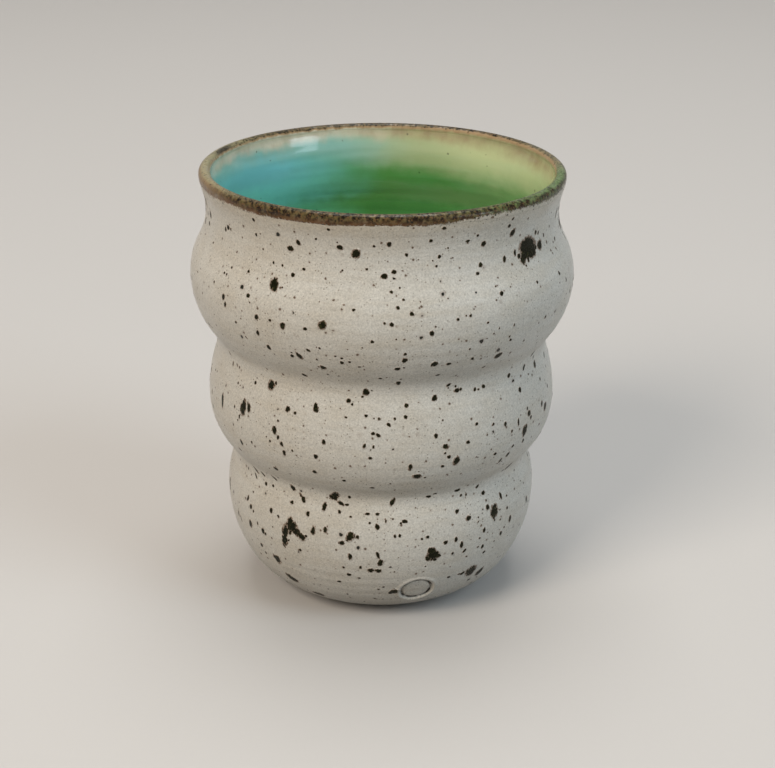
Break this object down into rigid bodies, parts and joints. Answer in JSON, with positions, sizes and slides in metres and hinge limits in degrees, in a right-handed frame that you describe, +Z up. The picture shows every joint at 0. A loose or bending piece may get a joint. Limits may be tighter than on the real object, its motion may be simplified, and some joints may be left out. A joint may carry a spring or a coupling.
{
  "type": "tumbler",
  "caption": "Hand-thrown stoneware tumbler without a handle, wavy wall of stacked lobes, speckled white outside, green inside, brown lip.",
  "frame": {"origin": "middle of the standing face of the foot ring", "axes": "+Z up along the axis that the cup was thrown round; the cup is round, and -Y faces the viewer of the picture"},
  "size_m": [0.0918, 0.0918, 0.105],
  "materials": {
    "bare_clay": "matte",
    "speckled_white_glaze": "satin",
    "green_glaze": "gloss",
    "brown_glaze": "gloss"
  },
  "bodies": {
    "root": {"clay_body": "bare_clay", "outer_glaze": "speckled_white_glaze", "liner_glaze": "green_glaze", "rim_glaze": "brown_glaze"}
  },
  "joints": []
}
